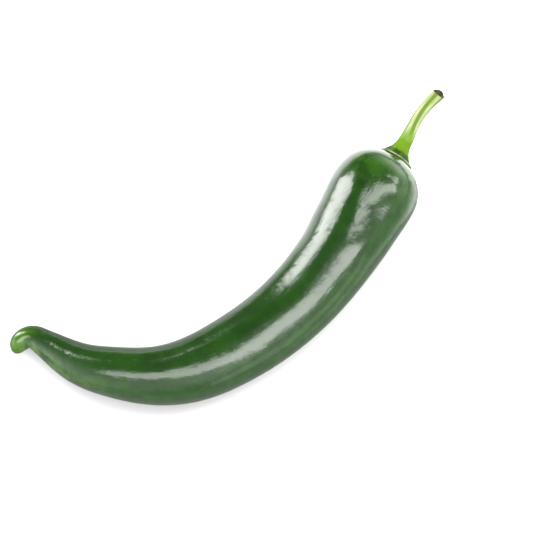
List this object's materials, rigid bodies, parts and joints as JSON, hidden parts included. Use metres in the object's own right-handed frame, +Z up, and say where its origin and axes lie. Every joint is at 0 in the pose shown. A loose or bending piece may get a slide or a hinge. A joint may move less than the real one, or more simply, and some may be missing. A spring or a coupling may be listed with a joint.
{
  "type": "chilli pepper",
  "caption": "Long curved green chilli pepper with a hooked blunt tip, a toothed calyx and a short cut stem, lying on its side.",
  "frame": {"origin": "on the surface the pepper lies on, under the middle of its bounding box", "axes": "+X from the tip towards the cut end of the stem, +Z up; the pod curves in the level plane, bulging towards -Y"},
  "size_m": [0.1568, 0.0522, 0.0275],
  "materials": {
    "pod_skin": "smooth waxy skin, glossy",
    "calyx_green": "matt green plant tissue, ribbed",
    "stem_green": "satin pale green plant tissue, ribbed"
  },
  "bodies": {
    "root": {"pod": "pod_skin", "calyx": "calyx_green", "stem": "stem_green"}
  },
  "joints": []
}
